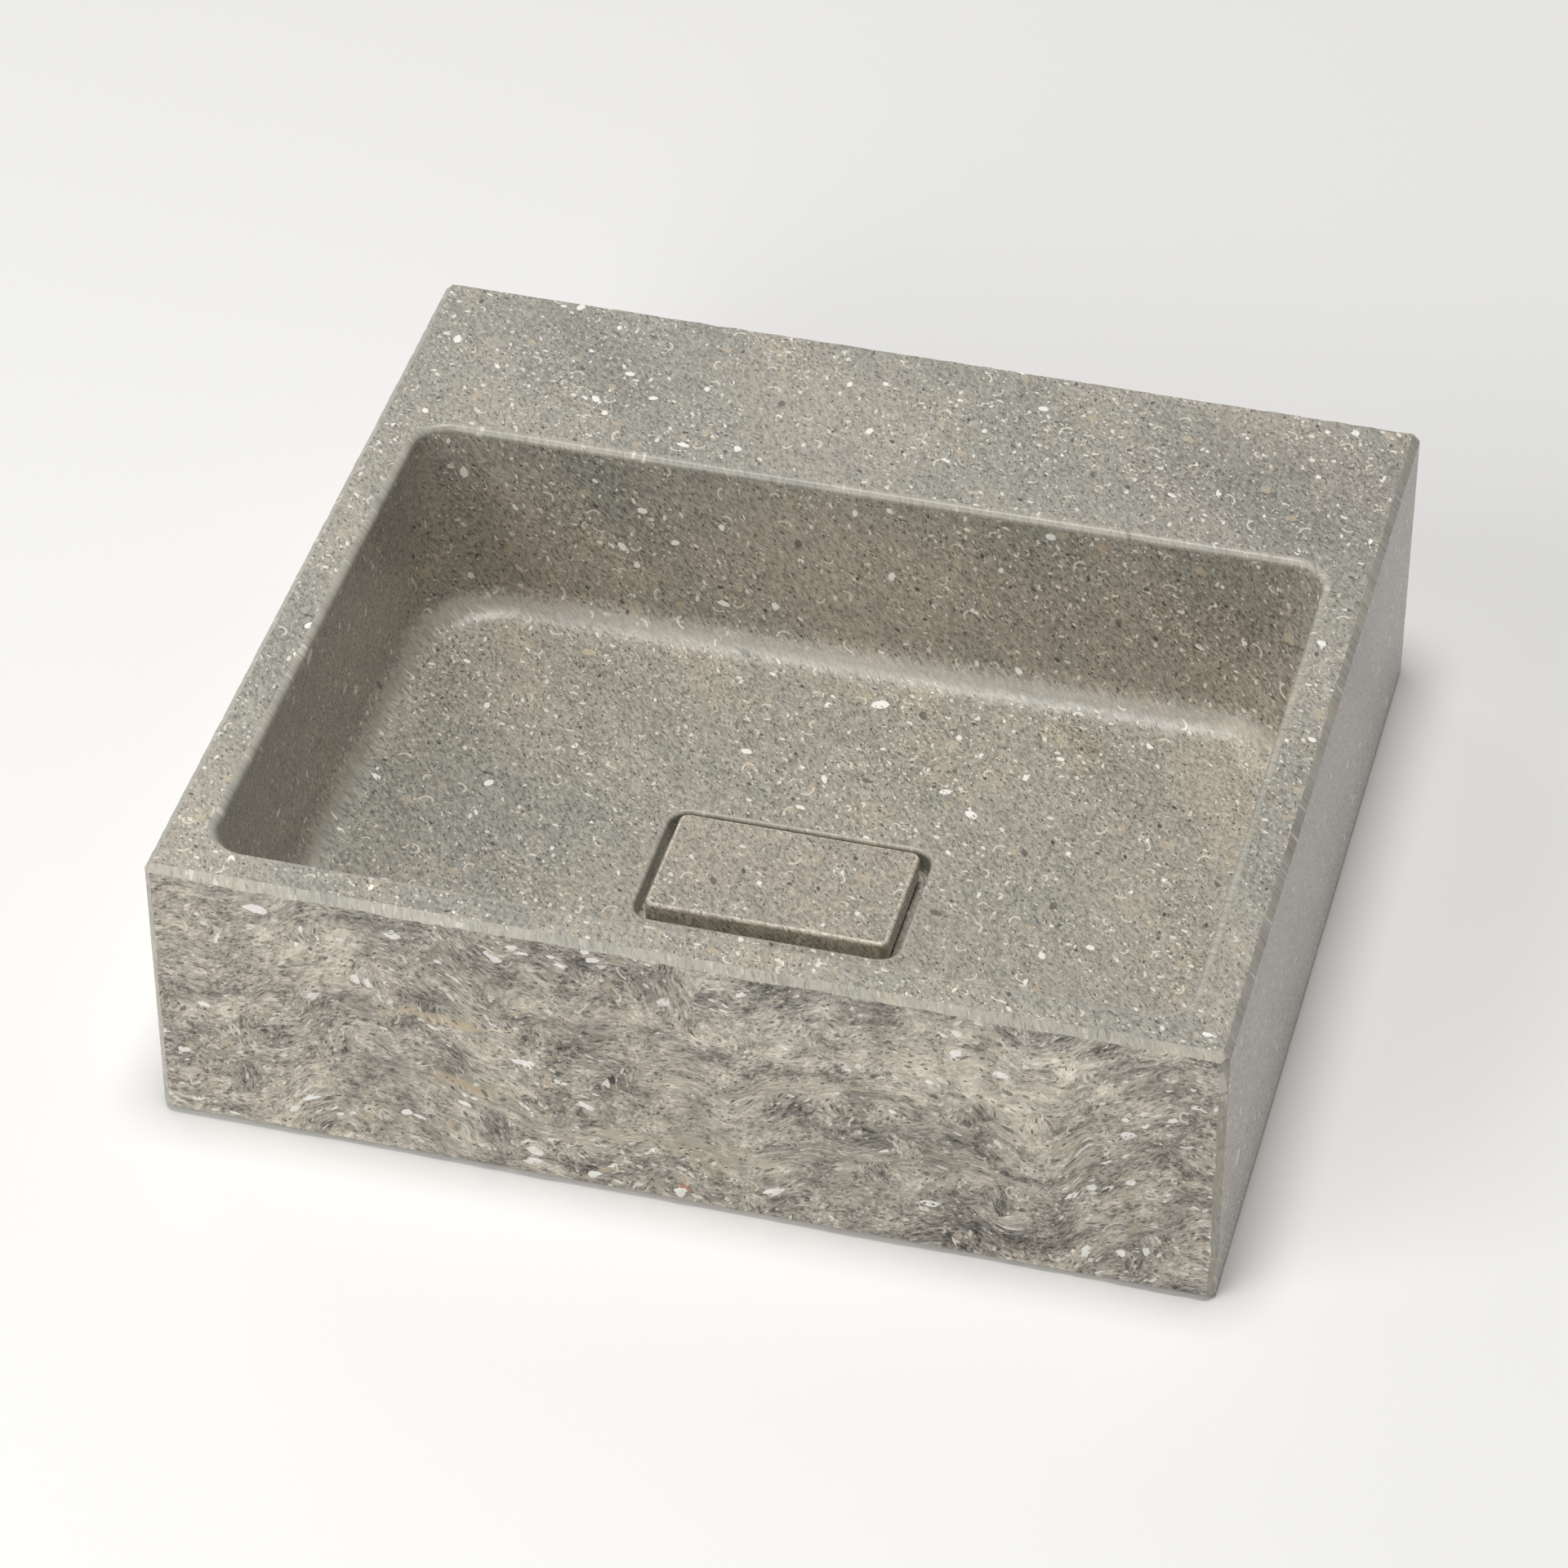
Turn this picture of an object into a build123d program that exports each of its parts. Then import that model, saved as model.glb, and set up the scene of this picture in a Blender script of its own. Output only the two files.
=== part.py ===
from build123d import *
from math import atan2, pi, sin
import os

os.makedirs("parts", exist_ok=True)

# Block of stone, in millimetres. The origin is the centre of the underside,
# with the split front face towards -Y and the tap deck towards +Y.
block_width = 500.0
block_depth = 470.0
block_height = 150.0
edge_chamfer = 3.5

# Split front face, hewn back from the front plane in long swells that die out
# towards the sawn edges. Each swell is its share of the depth, its waves across and
# up in one swell length and height, and its phase.
face_setback = 1.0
relief_proud = 0.8
relief_depth = 4.6
swell_length = 168.0
swell_height = 118.0
swells = [
    (0.50, 1.0, 0.45, 0.0),
    (0.30, 2.3, -1.20, 0.8),
    (0.20, 3.1, 1.50, 2.1),
]
side_hold = 8
edge_hold = 4
relief_step = 14.0
relief_overrun = 8.0

# Bowl, cut into the top
side_rim = 23.5
front_rim = 22.5
tap_deck = 118.0
rim_corner = 16.0
rim_rounding = 3.5
wall_draft = 2.0
foot_corner = 52.0
foot_fillet = 17.0
floor_margin = 13.0
floor_fall = 6.0

# Recess for the drain cover, in the low middle of the floor
recess_width = 130.0
recess_length = 80.0
recess_depth = 13.0
recess_corner = 10.0
recess_edge = 2.0
recess_margin = 3.0

# Loose drain cover and the pads that it stands on
cover_gap = 5.5
cover_proud = 3.5
cover_edge = 1.5
cover_underside_chamfer = 1.0
pad_height = 3.0
pad_sunk = 1.5
pad_radius = 4.0
pad_play = 0.1
pad_inset = 13.0

# Waste hole, the rebate for its flange and the pocket for its nut, with the stone
# left between them
hole_play = 2.0
rebate_play = 1.5
stone_at_waste = 10.0
hand_room = 20.0
pocket_edge = 1.5

# Waste body, turned in one piece with its flange, for a pipe of 32 mm
pipe_radius = 16.0
pipe_play = 0.2
pipe_socket_length = 11.0
pipe_stop = 1.6
tail_radius = 20.95
tail_wall = 3.0
tail_end_height = 1.0
tail_chamfer = 0.8
flange_reach = 10.5
flange_thickness = 3.0
flange_edge = 0.8
arm_width = 8.0
arm_height = 6.0
arm_rise = 1.5

# Strainer and its screw
strainer_thickness = 1.5
strainer_ledge = 7.0
strainer_play = 0.2
slot_count = 8
slot_width = 4.0
slot_inner = 7.5
slot_outer = 16.5
screw_radius = 3.0
screw_play = 0.1
screw_head_radius = 5.4
screw_head_height = 2.0
screw_head_rim = 0.6
screw_crown_radius = 3.2
screw_slot_width = 1.4
screw_slot_depth = 1.0
screw_tip = 0.5

# Seals, washer and back nut
flange_seal_thickness = 1.0
seal_play = 0.4
base_seal_thickness = 3.0
base_seal_reach = 9.0
base_seal_taper = 1.2
washer_thickness = 1.0
washer_play = 0.3
nut_height = 5.5
nut_play = 0.1
nut_wall = 5.0
nut_lug_count = 4
nut_lug_reach = 3.5
nut_lug_width = 9.0
nut_edge = 0.6
nut_clear = 1.5

# Heights and places that follow from the sizes above
bowl_width = block_width - 2 * side_rim
bowl_length = block_depth - front_rim - tap_deck
bowl_y = (front_rim - tap_deck) / 2
nut_z = nut_clear
washer_z = nut_z + nut_height
base_seal_z = washer_z + washer_thickness
pocket_depth = base_seal_z + base_seal_thickness
rebate_z = pocket_depth + stone_at_waste
flange_z = rebate_z + flange_seal_thickness + flange_thickness
recess_z = flange_z
drain_z = recess_z + recess_depth
foot_z = drain_z + floor_fall
cover_top_z = drain_z + cover_proud
cover_base_z = recess_z + pad_height
cover_width = recess_width - 2 * cover_gap
cover_length = recess_length - 2 * cover_gap
cover_corner = recess_corner - cover_gap
hole_radius = tail_radius + hole_play
throat_radius = tail_radius - tail_wall
flange_radius = tail_radius + flange_reach
base_seal_radius = tail_radius + base_seal_reach
nut_radius = tail_radius + nut_wall
pocket_radius = nut_radius + nut_lug_reach + hand_room
pipe_socket_radius = pipe_radius + pipe_play
stop_z = tail_end_height + pipe_socket_length
arm_z = stop_z + arm_rise
strainer_radius = throat_radius + strainer_ledge
strainer_z = flange_z - strainer_thickness
screw_tip_z = arm_z - screw_tip
screw_top = flange_z + screw_head_height


def at(z):
    """Level plane through the middle of the bowl at height z."""
    return Plane((0, bowl_y, z))


def outline(z, width, length, corner=0):
    """Level outline in the middle of the bowl, its edges in order round it."""
    face = RectangleRounded(width, length, corner) if corner else Rectangle(width, length)
    face = at(z) * face
    return face.edges().sort_by(lambda edge: atan2(edge.center().Y - bowl_y, edge.center().X))


def between(low, high):
    """Solid between two such outlines, with flat sides and ruled corners."""
    sides = []
    for below, above in zip(low, high):
        if below.geom_type == GeomType.LINE:
            start, end = sorted((above @ 0, above @ 1), key=(below @ 1 - below @ 0).dot)
            sides.append(Face(Wire.make_polygon([below @ 0, below @ 1, end, start])))
        else:
            sides.append(Face.make_surface_from_curves(below, above))
    return Solid(Shell([Face(Wire(low)), Face(Wire(high)), *sides]))


def split_face_y(x, z):
    """Depth of the split face at a place on it, from the sum of the slanted swells."""
    run = 2 * pi * x / swell_length
    rise = 2 * pi * z / swell_height
    bend = sin(rise)
    sway = sum(
        share * sin(across * run + up * rise + phase + bend)
        for share, across, up, phase in swells
    )
    from_sides = 1 - abs(2 * x / block_width) ** side_hold
    from_edges = 1 - abs(2 * z / block_height - 1) ** edge_hold
    free = from_sides * from_edges
    depth = face_setback + free * (relief_depth * (1 + sway) / 2 - relief_proud)
    return depth - block_depth / 2


def split_face():
    """Smooth sheet through the relief, a little larger than the front of the block."""
    columns = int(block_width / relief_step) + 2
    rows = int(block_height / relief_step) + 2
    wide = block_width + 2 * relief_overrun
    tall = block_height + 2 * relief_overrun
    grid = []
    for i in range(columns):
        x = wide * (i / (columns - 1) - 0.5)
        heights = [tall * j / (rows - 1) - relief_overrun for j in range(rows)]
        grid.append([(x, split_face_y(x, z), z) for z in heights])
    return Face.make_surface_from_array_of_points(grid)


# Hollow of the bowl, from the rim to the foot of its walls
rim = outline(block_height, bowl_width, bowl_length, rim_corner)
foot_width = bowl_width - 2 * wall_draft
foot_length = bowl_length - 2 * wall_draft
wall_foot = outline(foot_z, foot_width, foot_length, foot_corner)
bowl_hollow = between(wall_foot, rim)

# Hollow of the floor, which falls on all four sides to a flat round the recess
floor_inset = foot_fillet + floor_margin
floor_edge = outline(foot_z, foot_width - 2 * floor_inset, foot_length - 2 * floor_inset)
floor_low = outline(
    drain_z, recess_width + 2 * recess_margin, recess_length + 2 * recess_margin
)
floor_hollow = between(floor_low, floor_edge)

# Stone block: chamfered all round, split in front, with a bowl whose corners open out
# from tight at the rim to wide at the foot
with BuildPart() as basin_block:
    with BuildSketch(Plane.XY):
        Rectangle(block_width, block_depth)
    extrude(amount=block_height)
    front_edges = basin_block.faces().sort_by(Axis.Y)[0].edges()
    chamfer(front_edges, edge_chamfer + face_setback)
    chamfer(basin_block.edges().filter_by(Axis.Y), edge_chamfer)
    chamfer(basin_block.faces().sort_by(Axis.Y)[-1].edges(), edge_chamfer)
    extrude(split_face(), amount=relief_overrun, dir=(0, -1, 0), mode=Mode.SUBTRACT)

    add(bowl_hollow, mode=Mode.SUBTRACT)
    foot = basin_block.faces().filter_by(Axis.Z).filter_by_position(Axis.Z, foot_z - 0.1, foot_z + 0.1)
    fillet(foot.edges(), foot_fillet)
    fillet(basin_block.faces().sort_by(Axis.Z)[-1].inner_wires().edges(), rim_rounding)

    # Fall of the floor, and the recess in its low middle
    add(floor_hollow, mode=Mode.SUBTRACT)
    with BuildSketch(at(recess_z)):
        RectangleRounded(recess_width, recess_length, recess_corner)
    extrude(amount=recess_depth, mode=Mode.SUBTRACT)
    lip = basin_block.faces().filter_by_position(Axis.Z, drain_z - 0.01, drain_z + 0.01)[0]
    fillet(lip.inner_wires().edges(), recess_edge)

    # Waste hole, flange rebate above it and nut pocket below it
    with BuildSketch(at(0)):
        Circle(hole_radius)
    extrude(amount=recess_z, mode=Mode.SUBTRACT)
    with BuildSketch(at(rebate_z)):
        Circle(flange_radius + rebate_play)
    extrude(amount=recess_z - rebate_z, mode=Mode.SUBTRACT)
    with BuildSketch(at(0)):
        Circle(pocket_radius)
    extrude(amount=pocket_depth, mode=Mode.SUBTRACT)
    pocket_mouth = basin_block.edges().filter_by(GeomType.CIRCLE)
    pocket_mouth = pocket_mouth.filter_by_position(Axis.Z, -0.01, 0.01)
    chamfer(pocket_mouth, pocket_edge)

# Drain cover: slab of the same stone with four shallow sockets underneath
pad_spots = GridLocations(cover_width - 2 * pad_inset, cover_length - 2 * pad_inset, 2, 2)
with BuildPart() as drain_cover:
    with BuildSketch(at(cover_base_z)):
        RectangleRounded(cover_width, cover_length, cover_corner)
    extrude(amount=cover_top_z - cover_base_z)
    fillet(drain_cover.faces().sort_by(Axis.Z)[-1].edges(), cover_edge)
    chamfer(drain_cover.faces().sort_by(Axis.Z)[0].edges(), cover_underside_chamfer)
    with BuildSketch(at(cover_base_z)):
        with pad_spots:
            Circle(pad_radius + pad_play)
    extrude(amount=pad_sunk, mode=Mode.SUBTRACT)

# Four rubber pads bonded into the sockets
with BuildPart() as cover_pads:
    with BuildSketch(at(recess_z)):
        with pad_spots:
            Circle(pad_radius)
    extrude(amount=pad_height + pad_sunk)

# Waste body: flange, threaded tail, pipe socket and the arm that takes the screw
with BuildPart() as waste_body:
    with BuildSketch(Plane((0, bowl_y, 0), x_dir=(1, 0, 0), z_dir=(0, -1, 0))):
        with BuildLine():
            Polyline(
                (pipe_socket_radius, tail_end_height),
                (tail_radius, tail_end_height),
                (tail_radius, flange_z - flange_thickness),
                (flange_radius, flange_z - flange_thickness),
                (flange_radius, flange_z),
                (strainer_radius + strainer_play, flange_z),
                (strainer_radius + strainer_play, strainer_z),
                (throat_radius, strainer_z),
                (throat_radius, arm_z),
                (pipe_socket_radius - pipe_stop, arm_z),
                (pipe_socket_radius - pipe_stop, stop_z),
                (pipe_socket_radius, stop_z),
                close=True,
            )
        make_face()
    revolve(axis=Axis((0, bowl_y, 0), (0, 0, 1)))
    flange_top = waste_body.edges().filter_by(GeomType.CIRCLE).sort_by(SortBy.RADIUS)
    flange_top = flange_top.filter_by_position(Axis.Z, flange_z - 0.01, flange_z + 0.01)
    chamfer(flange_top[-1], flange_edge)
    tail_tip = waste_body.edges().filter_by(GeomType.CIRCLE).sort_by(SortBy.RADIUS)
    tail_tip = tail_tip.filter_by_position(Axis.Z, tail_end_height - 0.01, tail_end_height + 0.01)
    chamfer(tail_tip[-1], tail_chamfer)
    with BuildSketch(at(arm_z)):
        Rectangle(2 * throat_radius, arm_width)
        Circle(screw_radius + screw_play, mode=Mode.SUBTRACT)
    extrude(amount=arm_height)

# Strainer: round plate with a ring of radial slots
with BuildPart() as strainer:
    with BuildSketch(at(strainer_z)):
        Circle(strainer_radius)
        with PolarLocations((slot_inner + slot_outer) / 2, slot_count):
            SlotOverall(slot_outer - slot_inner, slot_width, mode=Mode.SUBTRACT)
        Circle(screw_radius + screw_play, mode=Mode.SUBTRACT)
    extrude(amount=strainer_thickness)

# Screw that draws the strainer down on to the arm
with BuildPart() as strainer_screw:
    with BuildSketch(Plane((0, bowl_y, 0), x_dir=(1, 0, 0), z_dir=(0, -1, 0))):
        with BuildLine():
            Polyline(
                (0, screw_tip_z),
                (screw_radius - screw_tip, screw_tip_z),
                (screw_radius, arm_z),
                (screw_radius, flange_z),
                (screw_head_radius, flange_z),
                (screw_head_radius, flange_z + screw_head_rim),
                (screw_crown_radius, screw_top),
                (0, screw_top),
                close=True,
            )
        make_face()
    revolve(axis=Axis((0, bowl_y, 0), (0, 0, 1)))
    with BuildSketch(at(screw_top)):
        Rectangle(2 * screw_head_radius, screw_slot_width)
    extrude(amount=-screw_slot_depth, mode=Mode.SUBTRACT)

# Flat rubber seal under the flange
with BuildPart() as flange_seal:
    with BuildSketch(at(rebate_z)):
        Circle(flange_radius - seal_play)
        Circle(tail_radius + seal_play, mode=Mode.SUBTRACT)
    extrude(amount=flange_seal_thickness)

# Rubber seal against the roof of the pocket, tapered at its rim
with BuildPart() as base_seal:
    with BuildSketch(at(base_seal_z)):
        Circle(base_seal_radius)
        Circle(tail_radius + seal_play, mode=Mode.SUBTRACT)
    extrude(amount=base_seal_thickness)
    seal_rim = base_seal.edges().filter_by_position(Axis.Z, base_seal_z - 0.01, base_seal_z + 0.01)
    chamfer(seal_rim.sort_by(SortBy.RADIUS)[-1], base_seal_taper)

# Slip washer between the seal and the nut
with BuildPart() as slip_washer:
    with BuildSketch(at(washer_z)):
        Circle(base_seal_radius - base_seal_taper)
        Circle(tail_radius + washer_play, mode=Mode.SUBTRACT)
    extrude(amount=washer_thickness)

# Back nut with lugs to turn it by hand
with BuildPart() as back_nut:
    with BuildSketch(at(nut_z)):
        Circle(nut_radius)
        with PolarLocations(nut_radius, nut_lug_count):
            RectangleRounded(2 * nut_lug_reach, nut_lug_width, nut_edge)
        Circle(tail_radius + nut_play, mode=Mode.SUBTRACT)
    extrude(amount=nut_height)

pieces = {
    "basin_block": basin_block,
    "drain_cover": drain_cover,
    "cover_pads": cover_pads,
    "waste_body": waste_body,
    "strainer": strainer,
    "strainer_screw": strainer_screw,
    "flange_seal": flange_seal,
    "base_seal": base_seal,
    "slip_washer": slip_washer,
    "back_nut": back_nut,
}
for name, piece in pieces.items():
    piece.part.label = name
    export_step(piece.part, f"parts/{name}.step")
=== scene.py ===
import bmesh
import bpy
import math
import random
from mathutils import Matrix, Vector
from mathutils.geometry import delaunay_2d_cdt


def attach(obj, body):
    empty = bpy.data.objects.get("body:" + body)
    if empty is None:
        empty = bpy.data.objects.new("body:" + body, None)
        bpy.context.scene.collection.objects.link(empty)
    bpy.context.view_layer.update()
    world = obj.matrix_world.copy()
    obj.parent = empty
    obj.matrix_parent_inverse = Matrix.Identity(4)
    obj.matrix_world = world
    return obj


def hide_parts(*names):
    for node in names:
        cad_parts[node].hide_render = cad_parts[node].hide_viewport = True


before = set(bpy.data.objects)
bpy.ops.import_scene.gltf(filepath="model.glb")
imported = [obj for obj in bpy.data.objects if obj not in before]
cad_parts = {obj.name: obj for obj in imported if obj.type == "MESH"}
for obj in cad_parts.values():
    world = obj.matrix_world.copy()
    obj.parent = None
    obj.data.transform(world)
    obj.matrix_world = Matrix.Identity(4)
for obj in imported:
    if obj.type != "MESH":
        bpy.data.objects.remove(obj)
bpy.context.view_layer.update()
mm = 0.001  # the pieces are drawn in millimetres and kept in metres


# One output of a node, so that sums on it add Math nodes
class Wire:
    def __init__(self, tree, socket=None):
        self.tree = tree
        self.socket = socket

    def node(self, kind, values=None, output=0, stops=None, **settings):
        made = self.tree.nodes.new(kind)
        for name, value in settings.items():
            setattr(made, name, value)
        if stops:  # of a float curve
            curve = made.mapping.curves[0].points
            curve[0].location, curve[1].location = stops[0], stops[-1]
            for along, height in stops[1:-1]:
                curve.new(along, height)
            made.mapping.update()
        for key, value in (values or {}).items():
            if isinstance(value, Wire):
                self.tree.links.new(value.socket, made.inputs[key])
            else:
                made.inputs[key].default_value = value
        if isinstance(output, tuple):
            return [Wire(self.tree, made.outputs[each]) for each in output]
        return Wire(self.tree, None if output is None else made.outputs[output])

    def maths(self, operation, *others):
        values = dict(enumerate((self, *others)))
        return self.node("ShaderNodeMath", values, operation=operation)

    def __add__(self, other):
        return self.maths("ADD", other)

    def __sub__(self, other):
        return self.maths("SUBTRACT", other)

    def __rsub__(self, other):
        return self.maths("MULTIPLY_ADD", -1.0, other)

    def __mul__(self, other):
        return self.maths("MULTIPLY", other)

    def __truediv__(self, other):
        return self.maths("DIVIDE", other)

    def __rtruediv__(self, other):
        return (self ** -1.0) * other

    def __pow__(self, other):
        return self.maths("POWER", other)

    def __abs__(self):
        return self.maths("ABSOLUTE")

    def __gt__(self, other):
        return self.maths("GREATER_THAN", other)

    def __lt__(self, other):
        return self.maths("LESS_THAN", other)

    __radd__ = __add__
    __rmul__ = __mul__

    def step(self, low, high):  # soft step from 0 at low to 1 at high
        values = {"Value": self, "From Min": low, "From Max": high}
        return self.node("ShaderNodeMapRange", values, interpolation_type="SMOOTHSTEP")

    def between(self, one, other, factor):  # colour from one to the other
        return self.node("ShaderNodeMix", {0: factor, 6: one, 7: other}, 2, data_type="RGBA")

    def mix(self, other, factor):  # colours
        return self.between(self, other, factor)

    def pick(self, other, factor):  # vectors
        values = {0: factor, 4: self, 5: other}
        return self.node("ShaderNodeMix", values, 1, data_type="VECTOR")

    def vector(self, operation, *others):
        values = dict(enumerate((self, *others)))
        output = 1 if operation in ("LENGTH", "DOT_PRODUCT") else 0
        return self.node("ShaderNodeVectorMath", values, output, operation=operation)

    def stretch(self, *sizes):
        return self.vector("MULTIPLY", sizes)

    def part(self, axis):
        return self.node("ShaderNodeSeparateXYZ", {0: self}, "XYZ".index(axis))

    def join(self, y, z):
        return self.node("ShaderNodeCombineXYZ", {0: self, 1: y, 2: z})

    def turn(self, angle):  # round Z, in radians
        values = {"Vector": self, "Angle": angle}
        return self.node("ShaderNodeVectorRotate", values, rotation_type="Z_AXIS")

    def noise(self, size, detail, roughness, space="2D", output="Fac"):
        values = {"Vector": self, "Scale": 1 / size, "Detail": detail, "Roughness": roughness}
        return self.node("ShaderNodeTexNoise", values, output, noise_dimensions=space)

    def warp(self, reach, size, detail, roughness):  # moves each place by up to the reach
        drift = self.noise(size, detail, roughness, output="Color")
        drift = drift.vector("SUBTRACT", (0.5,) * 3).stretch(*(2 * reach,) * 3)
        return self.vector("ADD", drift)

    def cells(self, size, output="Color", metric="EUCLIDEAN"):
        values = {"Vector": self, "Scale": 1 / size}
        return self.node("ShaderNodeTexVoronoi", values, output, voronoi_dimensions="2D",
                         distance=metric)


# Direction of a place so many degrees round from the front, and above the floor
def towards(around, above):
    around, above = math.radians(around), math.radians(above)
    return Vector((math.sin(around) * math.cos(above), -math.cos(around) * math.cos(above),
                   math.sin(above)))


# Camera at the photograph's viewing angle
cameraView = {
    "azimuth": 14.741,
    "elevation": 40.240,
    "roll": 0.024,
    "target": (-0.02965, 0.06687, 0.0),  # place on the floor in the middle of the picture
    "distance": 3.0545,
    "lens": 141.46,
    "sensor": 36.0,
}


def aimCamera():
    back = towards(cameraView["azimuth"], cameraView["elevation"])
    data = bpy.data.cameras.new("camera")
    data.lens = cameraView["lens"]
    data.sensor_width = cameraView["sensor"]
    camera = bpy.data.objects.new("camera", data)
    bpy.context.scene.collection.objects.link(camera)
    turned = (-back).to_track_quat("-Z", "Y").to_matrix().to_4x4()
    roll = Matrix.Rotation(math.radians(cameraView["roll"]), 4, "Z")
    place = Matrix.Translation(Vector(cameraView["target"]) + back * cameraView["distance"])
    camera.matrix_world = place @ turned @ roll
    bpy.context.scene.camera = camera


aimCamera()
print("camera aimed")


# A colour given as it shows on a screen, 0 to 255, made linear
def tint(red, green, blue):
    linear = []
    for shown in (red, green, blue):
        share = shown / 255
        linear.append(share / 12.92 if share <= 0.04045 else ((share + 0.055) / 1.055) ** 2.4)
    return (*linear, 1.0)


def newMaterial(name):
    material = bpy.data.materials.new(name)
    material.use_nodes = True
    material.node_tree.nodes.clear()
    return material, Wire(material.node_tree)


def surface(start, values):
    shader = start.node("ShaderNodeBsdfPrincipled", values)
    start.node("ShaderNodeOutputMaterial", {"Surface": shader}, None)


# Place on the object, in millimetres
def placeOn(start):
    return start.node("ShaderNodeTexCoord", output="Object").stretch(*(1 / mm,) * 3)


# The basin's stone block
block = {
    "width": 500.0, "depth": 470.0, "height": 150.0, "chamfer": 3.5,
    "setback": 1.0,  # the split face behind the front plane, at its edges
    "chip": 0.22, "chipStep": 5.0,  # how far the arrises wander, and how often
    "rim": (226.5, 164.75), "rimCorner": 16.0, "rimRounding": 3.5,
    "foot": (224.5, 162.75), "footCorner": 52.0, "footFillet": 17.0, "footHeight": 44.0,
    "floorEdge": (194.5, 132.75), "floorCorner": 24.0,
    "floorLow": (68.0, 43.0), "floorLowCorner": 13.0, "lowHeight": 38.0, "ease": 0.5,
    "recess": (65.0, 40.0), "recessCorner": 10.0, "recessEdge": 2.0, "recessFloor": 25.0,
    "recessRoot": 1.0,
    "rebate": 32.95, "rebateFloor": 21.0, "hole": 22.95,
    "pocket": 49.45, "pocketRoof": 11.0, "pocketEdge": 1.5,
    "middle": -47.75,  # of the bowl, along Y
    "cornerSteps": 24, "filletSteps": 10, "wallSteps": 4, "floorSteps": 12, "roundSteps": 72,
    "support": 0.4,  # narrow band beside each rounding, so that the flats shade flat
    "seed": 7,
}

# Fragments in the stone. Each kind has the spacing of its places, the share of them that it
# fills, its length, how slim it is, how far it turns, how it crowds, its cover and its colour.
fragments = {
    "darkFlecks": (3.3, 0.36, 2.6, 2.4, 0.6, 0.5, 0.85, tint(70, 66, 58)),
    "paleFlecks": (4.0, 0.36, 2.3, 1.8, 0.8, 1.0, 0.85, tint(220, 215, 203)),
    "paleChips": (8.0, 0.32, 4.0, 1.9, 1.0, 1.0, 0.90, tint(231, 226, 214)),
    "tanChips": (18.0, 0.26, 7.5, 1.6, 0.8, 0.6, 0.60, tint(190, 175, 149)),
    "darkGrains": (13.0, 0.20, 3.6, 1.6, 1.0, 0.6, 0.85, tint(58, 55, 49)),
    "whiteChips": (22.0, 0.28, 6.6, 1.6, 0.9, 0.8, 0.97, tint(243, 240, 232)),
    "darkOvals": (52.0, 0.20, 7.5, 1.8, 1.2, 0.0, 0.80, tint(86, 82, 75)),
}
# On the split face some others come first, and the two large dark kinds are missing
splitFragments = {
    "darkChips": (7.0, 0.28, 4.4, 1.8, 0.5, 1.0, 0.70, tint(80, 76, 68)),
    "creamStreaks": (24.0, 0.34, 24.0, 10.0, 0.25, 0.6, 0.50, tint(204, 196, 175)),
    "longShells": (13.0, 0.36, 6.0, 2.8, 0.3, 0.8, 0.88, tint(232, 228, 217)),
    "whiteShells": (21.0, 0.34, 8.0, 2.6, 0.3, 0.8, 0.97, tint(250, 248, 242)),
    **{name: kind for name, kind in fragments.items() if name not in ("darkGrains", "darkOvals")},
}
fragmentShape = {"least": 0.4, "ragged": 0.45, "soft": 0.08}  # as shares of the length
curls = {
    "every": 17.0, "share": 0.28, "radius": 2.9, "least": 0.4, "thick": 0.70, "soft": 0.7,
    "squash": 0.8, "slant": 0.4, "fade": 0.6,
    "colour": tint(224, 217, 200), "cover": 0.85,
}
shellWhite = tint(250, 248, 242)
shellTan = tint(202, 185, 156)

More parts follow.
